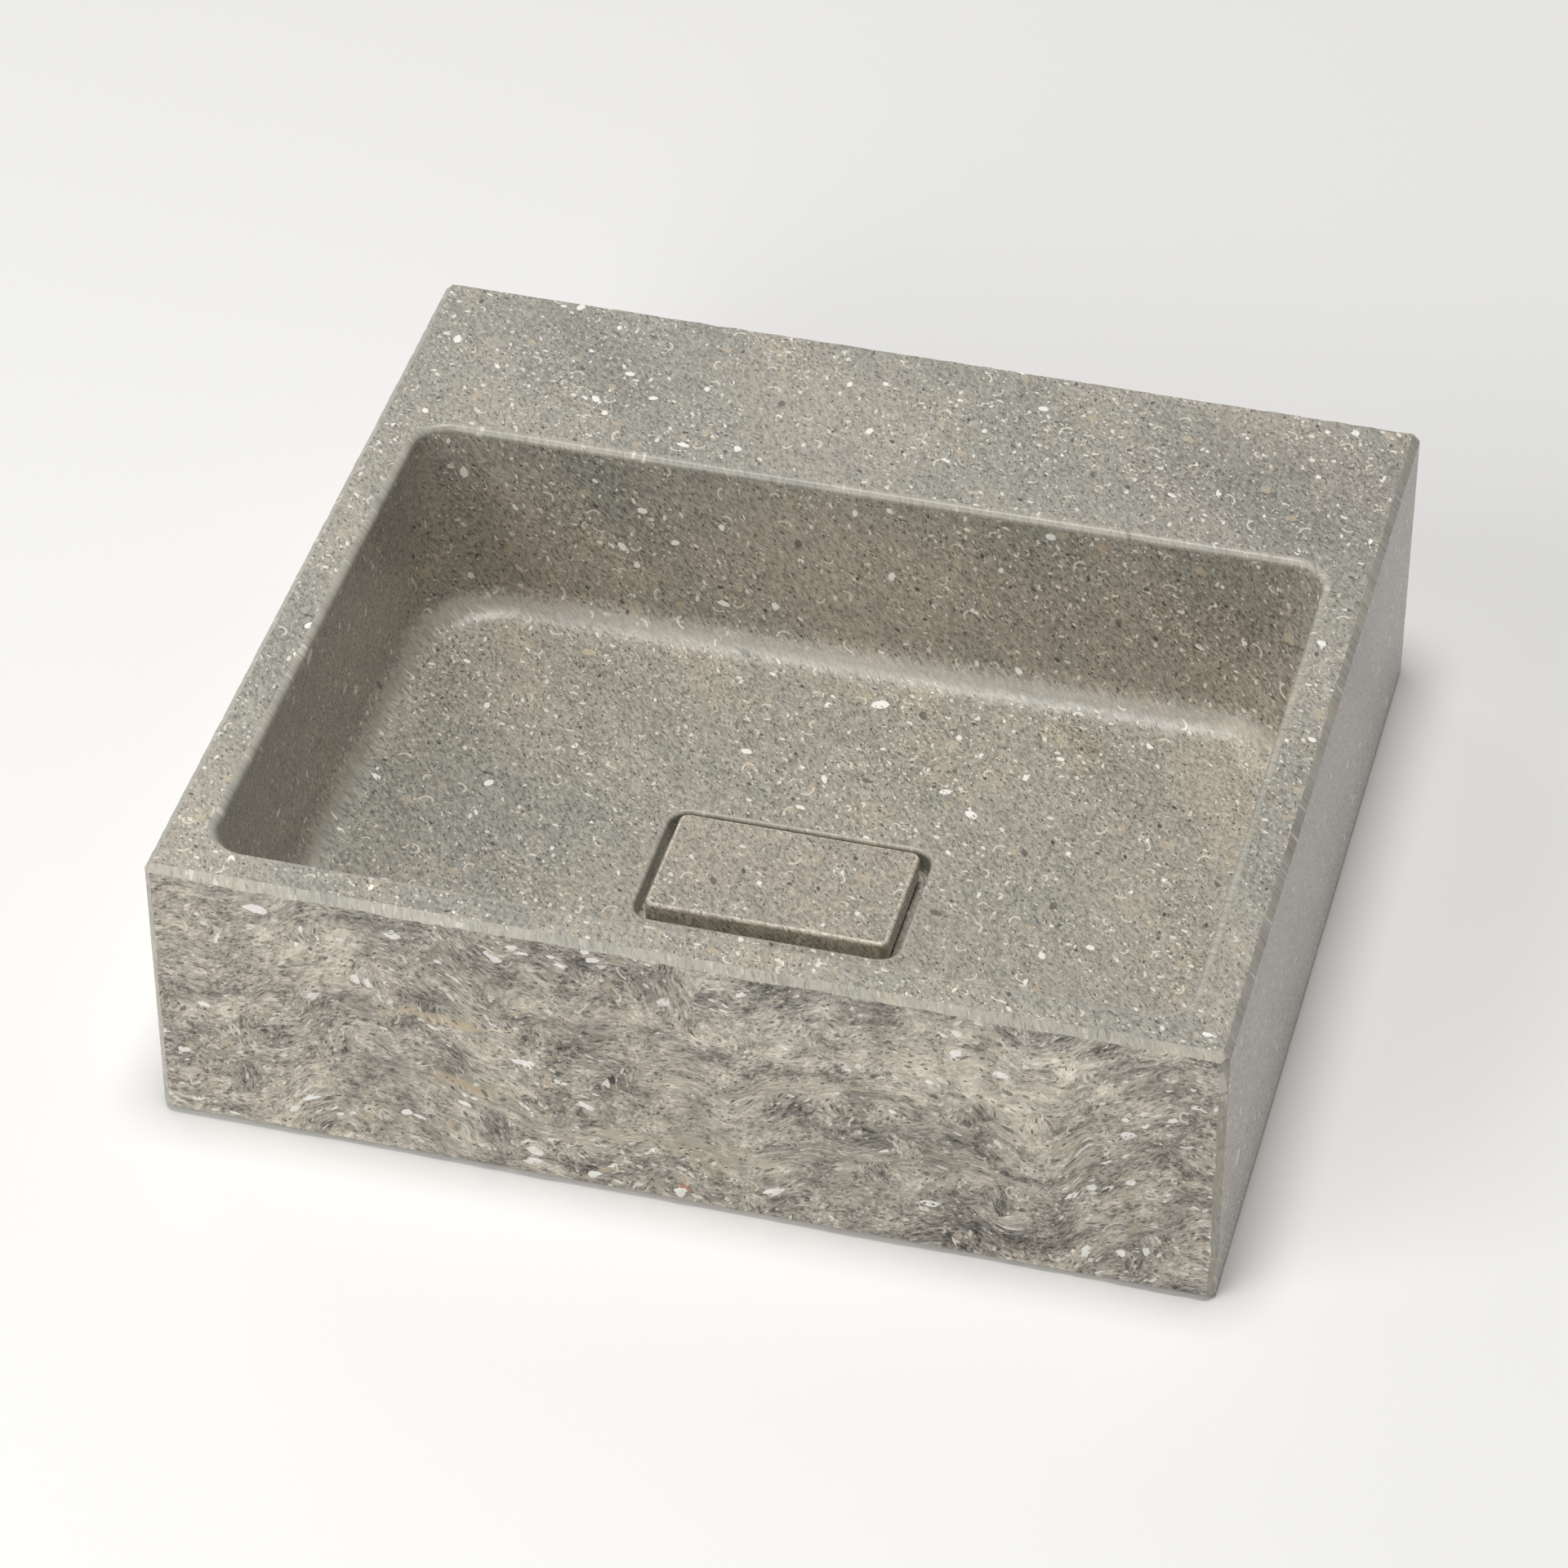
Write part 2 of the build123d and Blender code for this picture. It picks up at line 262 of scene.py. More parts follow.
# A noise is its size in millimetres, detail and roughness. A span is where a mask starts and
# where it is full. A shift keeps one noise from lying on another.
stoneLook = {
    "brown": tint(170, 161, 147), "green": tint(163, 160, 148),
    "bed": 0.44, "bedMiddle": 92.0, "bedHalf": 55.0,  # a browner bed, with greener ones round it
    "bedGreen": 0.11,
    "cloudNoise": (75.0, 4.0, 0.6), "cloudStretch": 2.0, "cloudSwing": 0.55,
    "cloudSpan": (0.20, 0.82),
    "grainTurn": 128.0,  # degrees that the grain lies at on each face
    "grainStretch": 2.0,
    "warp": 1.6, "warpNoise": (14.0, 1.5, 0.5),  # how far the pattern wanders
    "grainNoise": (2.2, 4.0, 1.0), "grain": 2.25,
    "specks": 1.0, "speckSwing": 0.58,
    "mottleNoise": (11.0, 4.0, 0.75), "mottleShift": (40.0, 330.0, 0.0), "mottle": 0.48,
    "tan": tint(180, 167, 146), "tanNoise": (48.0, 4.0, 0.65), "tanShift": (510.0, 90.0, 0.0),
    "tanSpan": (0.60, 0.74), "tanCover": 0.40,
    "vein": tint(196, 184, 162), "veinNoise": (90.0, 3.0, 0.5), "veinShift": (80.0, 740.0, 0.0),
    "veinWidth": 0.006, "veinSpan": (0.50, 0.56), "veinCover": 0.6,
    "shade": 0.0, "shadeColour": tint(129, 125, 114), "shadeNoise": (58.0, 5.0, 0.65),
    "shadeShift": (20.0, 910.0, 0.0), "shadeSpan": (0.47, 0.62),
    "upright": False,  # True keeps to the pattern of the upright faces
    "streak": 1.0,  # stretches the pattern across an edge where it is under 1
    "deepPaintedLight": 0.08,  # painted light: how much lighter the lowest faces are than the top ones
    "topCalm": 0.14,  # how much of its contrast the top bed loses
    "slopeCalm": 0.55,  # and how much is lost where the surface turns from one face to the next
    "seam": [],  # places along the front, and the height of the bed there
    "bands": [],  # layers drawn out into long thin lines
    "bandSoft": 0.7, "bandFade": 30.0, "bandCalm": 0.65,
    "lineColour": tint(206, 197, 176), "lineNoise": (1.5, 3.0, 0.7), "lineSquash": 0.09,
    "lineSwing": 1.6, "lineSpan": (0.02, 0.16), "lineCover": 0.40,
    # Broad lighter and darker places, painted light and shade, and on the split face some of its
    # own tone too: where, half length and width, how much lighter
    "toneAndPaintedLightPatches": [],
    "patchWarp": 16.0, "patchNoise": (26.0, 3.0, 0.6), "patchRagged": 0.8, "patchSoft": 0.8,
    # Single streaks and fragments: where, half length and width, lean, colour, cover
    "streaks": [], "streakSoft": 0.9,
    "marks": [], "markRagged": 0.7, "markSoft": 0.12,
    "blocks": 0.0,  # share of blocks where the split runs across the bed
    "blockSize": 15.0, "blockTurn": math.pi / 2 - 0.25, "blockShade": 0.04,
    "fragments": fragments, "crowdSpan": (-0.25, 0.25),
    "shift": (0.0, 0.0),
    "tone": 0.92, "contrast": 1.0,
    "roughness": 0.32, "roughSwing": 0.5,
    "bump": 0.08, "bumpStrength": 0.7, "grainBump": 2.6, "mottleBump": 0.5,
    "sheen": 0.15, "sheenRoughness": 0.4,
}
# How far the pattern of a face slides, across and up, as the surface goes back from that face
slides = {
    "ahead": (0.23, 0.31), "beside": (0.27, 0.19), "besideStart": 170.0, "above": (0.7, 0.3),
    "raggedSize": 1.5, "ragged": 0.25,  # of the line where one face's pattern meets another's
    "flatSpan": (0.05, 0.6),
}


# Millimetres across and up the face that the surface belongs to, how well it lies on that
# face, its height, and the place where the marks and patches are looked up
def stoneSheet(start, look):
    place = placeOn(start)
    facing = start.node("ShaderNodeTexCoord", output="Normal").vector("ABSOLUTE")
    shift = (*look["shift"], 0.0)
    x, y, z = (place.part(axis) for axis in "XYZ")
    side, front, level = (facing.part(axis) for axis in "XYZ")
    behind = y + block["depth"] / 2
    lift = z * look["streak"]
    if look["seam"]:
        along = x / block["width"] + 0.5
        lift = lift - along.node("ShaderNodeFloatCurve", {"Value": along}, stops=[
            (spot / block["width"] + 0.5, high / block["height"])
            for spot, high in look["seam"]]) * block["height"]
    slideX, slideZ = slides["ahead"]
    ahead = (x + behind * slideX).join(lift + behind * slideZ, 0.0)
    slideY, slideZ = slides["beside"]
    beside = (y + x * slideY + slides["besideStart"]).join(
        z * look["streak"] + x * slideZ, 0.0)
    upright = ahead.pick(beside, side > front)
    if look["upright"]:
        return upright.vector("ADD", shift), None, z, x.join(z, 0.0)
    slideX, slideY = slides["above"]
    above = (x + z * slideX).join(y + z * slideY, 0.0)
    ragged = (place.noise(slides["raggedSize"], 2.0, 0.5, space="3D") - 0.5) * slides["ragged"]
    larger = side.maths("MAXIMUM", front)
    sheet = upright.pick(above, level + ragged > larger)
    flat = abs(level - larger).step(*slides["flatSpan"])
    return sheet.vector("ADD", shift), flat, z, sheet


# Place seen from the middle of the nearest cell, turned, and two more chances of that cell
def cellPlace(sheet, every, turn):  # turn gives the angle for the first chance
    spot, chance = sheet.cells(every, ("Position", "Color"))
    away = sheet.vector("SUBTRACT", spot)
    return away.turn(turn(chance.part("X"))), chance.part("Y"), chance.part("Z")


# Mask of the fragments of one kind
def fragmentMask(sheet, shape, grain, crowd):
    every, share, long, slim, turn, crowding = shape
    turned, size, rare = cellPlace(sheet, every, lambda chance: (chance - 0.5) * (2 * turn))
    least = fragmentShape["least"]
    radius = (size * (1 - least) + least) * (long / 2)
    far = turned.stretch(1, slim, 0).vector("LENGTH")
    edge = radius - far + grain * (long * fragmentShape["ragged"])
    there = rare < share * (1 + crowd * crowding)
    return edge.step(0.0, long * fragmentShape["soft"]) * there


# Mask of the hooked shells: half of a ring round the middle of a cell
def curlMask(sheet):
    turned, size, rare = cellPlace(
        sheet, curls["every"], lambda chance: chance * 2 * math.pi)
    radius = (size * (1 - curls["least"]) + curls["least"]) * curls["radius"]
    far = turned.stretch(curls["squash"], 1, 0).vector("LENGTH")
    thick = curls["thick"]
    ring = (thick - abs(far - radius)).step(0.0, thick * curls["soft"])
    half = (turned.part("Y") + turned.part("X") * curls["slant"]).step(0.0, curls["fade"])
    return ring * half * (rare < curls["share"])


# Mask of one patch, streak or mark
def spotMask(face, at, half, lean, ragged, soft):
    away = face.vector("SUBTRACT", (*at, 0.0))
    if lean:
        away = away.turn(-math.radians(lean))
    far = away.stretch(1 / half[0], 1 / half[1], 0).vector("LENGTH")
    return (1 + ragged - far).step(0.0, soft)


# Mask of the layers that are drawn out into lines
def bandMask(sheet, look, mottle):
    flow = None
    for layer in look["bands"]:
        across = layer["half"] - abs(sheet.part("Y") - layer["at"]) + mottle * layer["wander"]
        reach = layer["reach"] / 2 - abs(sheet.part("X") - layer["middle"])
        mask = (across.step(0.0, layer["half"] * look["bandSoft"])
                * reach.step(0.0, look["bandFade"]))
        flow = mask if flow is None else flow.maths("MAXIMUM", mask)
    return flow


# Colour of the stone before its fragments, and the noises that the rest is made from
def stoneBase(start, sheet, height, look):
    bed = 1 - abs(height - look["bedMiddle"]) / look["bedHalf"]
    bed = bed.maths("MAXIMUM", 0.0) * look["bed"] - look["bedGreen"]
    clouded = sheet.stretch(1 / look["cloudStretch"], 1, 1)
    cloud = clouded.noise(*look["cloudNoise"])
    stain = clouded.vector("ADD", look["tanShift"]).noise(*look["tanNoise"])
    colour = start.between(look["green"], look["brown"], (cloud + bed).step(*look["cloudSpan"]))
    colour = colour.mix(look["tan"], stain.step(*look["tanSpan"]) * look["tanCover"])
    if look["shade"]:
        dark = clouded.vector("ADD", look["shadeShift"]).noise(*look["shadeNoise"])
        colour = colour.mix(look["shadeColour"], dark.step(*look["shadeSpan"]) * look["shade"])
    run = abs(clouded.vector("ADD", look["veinShift"]).noise(*look["veinNoise"]) - 0.5)
    vein = (look["veinWidth"] - run).step(0.0, look["veinWidth"])
    colour = colour.mix(look["vein"], vein * stain.step(*look["veinSpan"]) * look["veinCover"])
    return colour, cloud, stain


# Stone of one look, which gives only what differs from stoneLook
def stone(name, changes):
    look = {**stoneLook, **changes}
    material, start = newMaterial(name)
    sheet, flat, height, face = stoneSheet(start, look)

    stood = None
    if look["blocks"]:  # where the split runs across the bed, the grain stands up
        chance = sheet.cells(look["blockSize"], metric="CHEBYCHEV").part("X")
        stood = chance < look["blocks"]
        sheet = sheet.pick(sheet.turn(look["blockTurn"]), stood)
    sheet = sheet.warp(look["warp"], *look["warpNoise"]).turn(-math.radians(look["grainTurn"]))
    colour, cloud, stain = stoneBase(start, sheet, height, look)

    long = sheet.stretch(1 / look["grainStretch"], 1, 1)
    grain = long.noise(*look["grainNoise"]) - 0.5
    speck = long.cells(look["specks"]).part("X") - 0.5
    mottle = long.vector("ADD", look["mottleShift"]).noise(*look["mottleNoise"]) - 0.5
    swing = grain * look["grain"] + speck * look["speckSwing"] + mottle * look["mottle"]
    flow = bandMask(sheet, look, mottle)
    if flow:
        lines = sheet.stretch(look["lineSquash"], 1, 1).noise(*look["lineNoise"]) - 0.5
        swing = swing * (1 - flow * look["bandCalm"]) + lines * flow * look["lineSwing"]
        cream = lines.step(*look["lineSpan"]) * flow * look["lineCover"]
        colour = colour.mix(look["lineColour"], cream)

    # Lighter and darker places, painted light and shade among them
    calm = 1 - height * (look["topCalm"] / block["height"])
    swing = swing * (look["contrast"] * calm)
    warped = face.warp(look["patchWarp"], *look["patchNoise"])
    ragged = mottle * look["patchRagged"]
    # The patches paint light and shade into the stone's tone
    for at, half, lighter in look["toneAndPaintedLightPatches"]:
        swing = swing + spotMask(warped, at, half, 0, ragged, look["patchSoft"]) * lighter
    if flat:
        swing = swing * (flat * look["slopeCalm"] + (1 - look["slopeCalm"]))
    # Painted light: the top darker and the lower faces lighter
    paintedDeepLight = (0.5 - height / block["height"]) * look["deepPaintedLight"]
    tone = (1 + (swing + (cloud - 0.5) * look["cloudSwing"] + paintedDeepLight)) * look["tone"]
    if stood:
        tone = tone * (1 - stood * look["blockShade"])
    colour = colour.vector("MULTIPLY", tone.join(tone, tone))

    for at, half, lean, shade, cover in look["streaks"]:
        mask = spotMask(warped, at, half, lean, ragged, look["streakSoft"])
        colour = colour.mix(shade, mask * cover)
    for at, half, lean, shade, cover in look["marks"]:
        mask = spotMask(face, at, half, lean, grain * look["markRagged"], look["markSoft"])
        colour = colour.mix(shade, mask * cover)
    crowd = (mottle + stain - 0.5).step(*look["crowdSpan"]) * 2 - 1
    for *shape, cover, shade in look["fragments"].values():
        mask = fragmentMask(sheet, shape, grain, crowd) * (cover * look["contrast"])
        colour = colour.mix(shade, mask * flat if flat else mask)
    colour = colour.mix(curls["colour"], curlMask(sheet) * curls["cover"])

    bump = start.node("ShaderNodeBump", {
        "Height": grain * look["grainBump"] + mottle * look["mottleBump"],
        "Strength": look["bumpStrength"], "Distance": look["bump"] * mm})
    surface(start, {"Base Color": colour, "Normal": bump,
                    "Roughness": look["roughness"] + grain * look["roughSwing"],
                    "Sheen Weight": look["sheen"], "Sheen Roughness": look["sheenRoughness"]})
    return material


# What differs on each face. On upright faces a place is across and up, in millimetres, and
# on level ones it is across and back, as the sheet carries it.
honedLook = {
    # Painted shade: the deck and the back wall darker towards the back right, where less light
    # falls
    "toneAndPaintedLightPatches": [((300, 215), (125, 80), -0.18)],
    "marks": [
        ((44.9, 100.4), (4.6, 3.2), 20, shellWhite, 0.95),
        ((103.1, 34.3), (3.6, 2.4), -30, shellWhite, 0.95),
        ((88.1, 47.0), (3.2, 1.8), 15, shellWhite, 0.9),
        ((-125.9, -4.5), (3.0, 2.0), 60, shellWhite, 0.9),
        ((-105.4, 103.2), (3.6, 2.6), 0, shellTan, 0.7),
        ((-17.7, -184.0), (8.0, 4.5), 10, tint(128, 125, 116), 0.55),
    ],
}
coverLook = {"shift": (137.0, 59.0), "bedGreen": -0.09, "tone": 0.95}
# Painted light: the cover's sides and rounded top edge lighter than its top, for the light on its
# sides and the highlight along its edge
coverEdgePaintedLightLook = {**coverLook, "upright": True, "tone": 1.38}
arrisLook = {
    "upright": True, "streak": 0.3, "contrast": 0.45, "tone": 1.0,
    # Painted shade on the chamfers at the top right corner, which face away from the light
    "toneAndPaintedLightPatches": [((253, 151), (10, 12), -0.34)], "patchWarp": 0.0,  # darker at the top right
}
hewnLook = {
    "brown": tint(175, 167, 154), "green": tint(171, 166, 154), "bed": 0.25, "bedGreen": 0.0,
    "upright": True, "grainTurn": 0.0, "grainStretch": 1.8,
    "warp": 8.0, "warpNoise": (34.0, 1.5, 0.5),
    "grain": 3.1, "speckSwing": 0.5, "mottleNoise": (12.0, 4.0, 0.75), "mottle": 2.5,
    "cloudSwing": 1.0, "topCalm": 0.0, "deepPaintedLight": 0.0, "tone": 1.06,
    "shade": 0.45, "tanCover": 0.15, "blocks": 0.09,
    "bump": 1.6, "grainBump": 0.9, "mottleBump": 2.2, "roughness": 0.5,
    "fragments": splitFragments,
    "seam": [
        (-250, 30), (-200, 38), (-150, 55), (-118, 52), (-86, 37), (-50, 34), (-14, 37),
        (30, 38), (60, 47), (100, 53), (135, 56), (162, 46), (192, 63), (222, 76), (250, 80),
    ],
    "bands": [
        {"at": 0.0, "half": 9.0, "middle": 15.0, "reach": 330.0, "wander": 14.0},
        {"at": 36.0, "half": 6.0, "middle": 45.0, "reach": 210.0, "wander": 12.0},
    ],
    # Painted light and shade of the face's swells and hollows, with some of the stone's own
    # lighter and darker tone
    "toneAndPaintedLightPatches": [
        ((136, 112), (95, 42), 0.50), ((160, 82), (28, 38), 0.34),
        ((-166, 122), (40, 22), 0.28), ((36, 108), (30, 24), 0.40), ((-88, 56), (20, 44), 0.18),
        ((32, 26), (34, 22), 0.28), ((-240, 70), (26, 90), -0.22),
        ((-122, 92), (20, 24), -0.30), ((-40, 134), (46, 18), -0.42),
        ((-46, 68), (34, 24), -0.46), ((68, 70), (38, 12), -0.42), ((-46, 14), (30, 10), -0.28),
        ((148, 16), (88, 24), -0.52), ((-208, 12), (36, 16), -0.25),
        ((232, 84), (18, 34), -0.30),
    ],
    "streaks": [
        ((6, 33), (78, 12), 0, tint(198, 188, 165), 0.45),
        ((-92, 46), (34, 8), 0, tint(198, 188, 165), 0.35),
    ],
    "marks": [
        ((-112, 87), (23, 2.6), -3, shellTan, 0.75),
        ((-104, 50), (17, 2.2), -16, shellTan, 0.6),
        ((-197, 136), (6.0, 2.6), -8, shellWhite, 0.95),
        ((-73, 71), (6.5, 1.6), 4, shellWhite, 0.95),
        ((-132, 135), (4.5, 1.9), 6, shellWhite, 0.9),
        ((-86, 131), (5.0, 2.2), -28, shellWhite, 0.85),
        ((-6, 124), (3.2, 2.2), 0, shellWhite, 0.9),
        ((127, 121), (4.2, 2.4), 55, shellWhite, 0.95),
        ((148, 113), (4.6, 2.2), 12, shellWhite, 0.95),
        ((207, 93), (4.0, 1.8), 10, shellWhite, 0.9),
        ((118, 30), (4.6, 1.8), -4, shellWhite, 0.95),
        ((-69, 16), (4.6, 2.2), -20, shellWhite, 0.9),
        ((-237, 41), (3.2, 2.0), 0, shellWhite, 0.9),
        ((3, 11), (3.4, 2.0), 0, tint(186, 132, 104), 0.7),
    ],
}
honed = stone("honedStone", honedLook)
coverStone = stone("honedCoverStone", coverLook)
coverEdgePaintedLightStone = stone("honedCoverEdgePaintedLightStone", coverEdgePaintedLightLook)
arrisStone = stone("honedEdgeStone", arrisLook)
hewn = stone("hewnStone", hewnLook)
print("stone mixed")

splitFace = {
    "Columns": 353, "Rows": 105,
    "Relief": 4.6, "Proud": 0.8, "Swell Length": 168.0, "Swell Height": 118.0,
    "Lump Size": 30.0, "Lump Depth": 5.5, "Scar Size": 10.0, "Scar Depth": 3.2,
    "Scar Twist": 0.6,
    "Edge Play": 0.25,  # share of the lumps left at the arrises
    "Least Depth": 0.3,  # behind the front plane
    "Seed Step": 31.7,
}
splitShape = {
    # Share of each swell, its waves along the face and up it, and where they start
    "swells": [(0.50, 1.0, 0.45, 0.0), (0.30, 2.3, -1.20, 0.8), (0.20, 3.1, 1.50, 2.1)],
    "swellHold": (8, 4), "lumpHold": (40, 12),  # the higher, the closer to the edges they last
    "lumpSquash": 0.6,
}


# Geometry Nodes tree of the split face: a grid pushed back by swells, lumps and scars
def splitFaceTree(material):
    tree = bpy.data.node_groups.new("splitFace", "GeometryNodeTree")
    tree.interface.new_socket("Geometry", in_out="OUTPUT", socket_type="NodeSocketGeometry")
    sizes = {**splitFace, "Width": block["width"], "Height": block["height"],
             "Depth": block["depth"], "Chamfer": block["chamfer"], "Setback": block["setback"],
             "Seed": block["seed"]}
    inputs = tree.nodes.new("NodeGroupInput")
    wires = {}
    for name, value in sizes.items():
        kind = "NodeSocketInt" if isinstance(value, int) else "NodeSocketFloat"
        tree.interface.new_socket(name, in_out="INPUT", socket_type=kind)
        wires[name] = Wire(tree, inputs.outputs[name])
    start = Wire(tree)
    grid = start.node("GeometryNodeMeshGrid", {
        "Size X": 2.0, "Size Y": 2.0, "Vertices X": wires["Columns"], "Vertices Y": wires["Rows"]})
    spot = start.node("GeometryNodeInputPosition")
    across, up = spot.part("X"), spot.part("Y")
    x = across * wires["Width"] * 0.5
    z = (up + 1) * wires["Height"] * 0.5
    run = x * 2 * math.pi / wires["Swell Length"]
    rise = z * 2 * math.pi / wires["Swell Height"]
    bend = rise.maths("SINE")
    sway = None
    for share, along, climb, phase in splitShape["swells"]:
        wave = (run * along + rise * climb + phase + bend).maths("SINE") * share
        sway = wave if sway is None else sway + wave

    def hold(powers):  # 1 in the middle of the face, and 0 at its edges
        return (1 - abs(across) ** powers[0]) * (1 - abs(up) ** powers[1])

    relief = hold(splitShape["swellHold"]) * (wires["Relief"] * (1 + sway) * 0.5 - wires["Proud"])

    flat = x.join(wires["Seed"] * wires["Seed Step"], z)
    lump = start.node("ShaderNodeTexNoise", {
        "Vector": flat.stretch(splitShape["lumpSquash"], 1, 1),
        "Scale": 1 / wires["Lump Size"], "Detail": 3.0, "Roughness": 0.5})
    scar = start.node("ShaderNodeTexNoise", {
        "Vector": flat, "Scale": 1 / wires["Scar Size"], "Detail": 4.0, "Roughness": 0.62,
        "Distortion": wires["Scar Twist"]})
    rough = (lump - 0.5) * 2 * wires["Lump Depth"] + (scar - 0.5) * 2 * wires["Scar Depth"]
    play = hold(splitShape["lumpHold"]) * (1 - wires["Edge Play"]) + wires["Edge Play"]
    back = wires["Setback"] + relief + rough * play
    back = back.maths("MAXIMUM", wires["Least Depth"])

    inset = wires["Chamfer"] + wires["Setback"]
    newX = across * (wires["Width"] * 0.5 - inset + back)
    newZ = wires["Height"] * 0.5 + up * (wires["Height"] * 0.5 - inset + back)
    newY = back - wires["Depth"] * 0.5
    placed = start.node("GeometryNodeSetPosition", {
        "Geometry": grid, "Position": newX.join(newY, newZ)})
    real = start.node("GeometryNodeRealizeInstances", {"Geometry": placed})
    dressed = start.node("GeometryNodeSetMaterial", {"Geometry": real, "Material": material})
    output = tree.nodes.new("NodeGroupOutput")
    tree.links.new(dressed.socket, output.inputs[0])
    return tree, sizes


# Runs a tree on an empty mesh and gives the plain mesh that it makes
def grow(name, tree, sizes):
    holder = bpy.data.objects.new(name, bpy.data.meshes.new(name))
    bpy.context.scene.collection.objects.link(holder)
    modifier = holder.modifiers.new(name, "NODES")
    modifier.node_group = tree
    for item in tree.interface.items_tree:
        if item.item_type == "SOCKET" and item.in_out == "INPUT":
            modifier[item.identifier] = sizes[item.name]
    holder.data.update()
    graph = bpy.context.evaluated_depsgraph_get()
    made = bpy.data.meshes.new_from_object(holder.evaluated_get(graph))
    bpy.data.objects.remove(holder)
    return made


# Distances under which corners are one, in millimetres, and degrees where an edge is sharp
meshing = {"touch": 1e-7, "merge": 1e-4, "sharp": 35.0}


# Points round a rectangle with rounded corners, the same number at every size
def roundedPoints(half, corner, steps):
    points = []
    for quarter in range(4):
        signX = (1, -1, -1, 1)[quarter]
        signY = (1, 1, -1, -1)[quarter]
        heart = Vector((signX * (half[0] - corner), signY * (half[1] - corner)))
        for step in range(steps + 1):
            angle = math.pi / 2 * (quarter + step / steps)
            out = Vector((math.cos(angle), math.sin(angle)))
            points.append((heart + out * corner, out))
    return points


def addRing(bm, points, height, middle=0.0, inward=0.0):
    return [bm.verts.new((p.x - inward * out.x, p.y - inward * out.y + middle, height))
            for p, out in points]


def circlePoints(radius, steps):
    points = []
    for step in range(steps):
        angle = 2 * math.pi * step / steps
        out = Vector((math.cos(angle), math.sin(angle)))
        points.append((out * radius, out))
    return points


# Band of faces between two rings, or two chains where closed is False
def band(bm, one, two, closed=True, smooth=True, slot=0):
    last = len(one) if closed else len(one) - 1
    for i in range(last):
        j = (i + 1) % len(one)
        face = bm.faces.new((one[i], one[j], two[j], two[i]))
        face.smooth = smooth
        face.material_index = slot


def bands(bm, rings, **how):
    for one, two in zip(rings, rings[1:]):
        band(bm, one, two, **how)


# Flat panel inside a loop of corners, less the holes inside it; along names its two axes
def panel(bm, along, outline, *holes):
    corners = []
    edges = []
    owner = []
    for number, loop in enumerate((outline, *holes)):
        first = len(corners)
        corners += loop
        owner += [number] * len(loop)
        edges += [(first + i, first + (i + 1) % len(loop)) for i in range(len(loop))]
    spots = [Vector([corner.co["xyz".index(axis)] for axis in along]) for corner in corners]
    for triangle in delaunay_2d_cdt(spots, edges, [], 1, meshing["touch"])[2]:
        owners = {owner[i] for i in triangle}
        if len(owners) > 1 or 0 in owners:
            bm.faces.new([corners[i] for i in triangle])


# Bowl from the rim down to the foot of its walls, whose corners open out on the way
def bowlRings(bm):
    steps = block["cornerSteps"]
    rim = roundedPoints(block["rim"], block["rimCorner"], steps)
    foot = roundedPoints(block["foot"], block["footCorner"], steps)
    drop = block["height"] - block["footHeight"]

    def ring(rule):  # rule gives the inward distance and depth for a wall's slope
        made = []
        for (high, out), (low, _) in zip(rim, foot):
            slope = -(low - high).dot(out) / drop
            inward, depth = rule(slope)
            spot = high + (low - high) * (depth / drop) - out * (inward - slope * depth)
            made.append(bm.verts.new((spot.x, spot.y + block["middle"],
                                      block["height"] - depth)))
        return made

    def rounding(share):
        def rule(slope):
            reach = math.sqrt(1 + slope * slope)
            turn = math.atan2(1, slope) * share
            size = block["rimRounding"]
            return (size * (math.sin(turn) - reach + slope), size * (1 - math.cos(turn)))
        return rule

    def fillet(share):
        def rule(slope):
            reach = math.sqrt(1 + slope * slope)
            begin = math.atan(slope)
            turn = begin + (math.pi / 2 - begin) * share
            size = block["footFillet"]
            inward = slope * drop + size * (reach - slope - math.cos(turn))
            return (inward, drop - size * (1 - math.sin(turn)))
        return rule

    def wall(share):
        def rule(slope):
            top = rounding(1)(slope)[1] + block["support"]
            bottom = fillet(0)(slope)[1] - block["support"]
            depth = top + (bottom - top) * share
            return (slope * depth, depth)
        return rule

    count = block["filletSteps"]
    rings = [ring(lambda slope: (rounding(0)(slope)[0] - block["support"], 0.0))]
    rings += [ring(rounding(step / count)) for step in range(count + 1)]
    rings += [ring(wall(step / block["wallSteps"])) for step in range(block["wallSteps"] + 1)]
    rings += [ring(fillet(step / (2 * count))) for step in range(2 * count + 1)]
    return rings


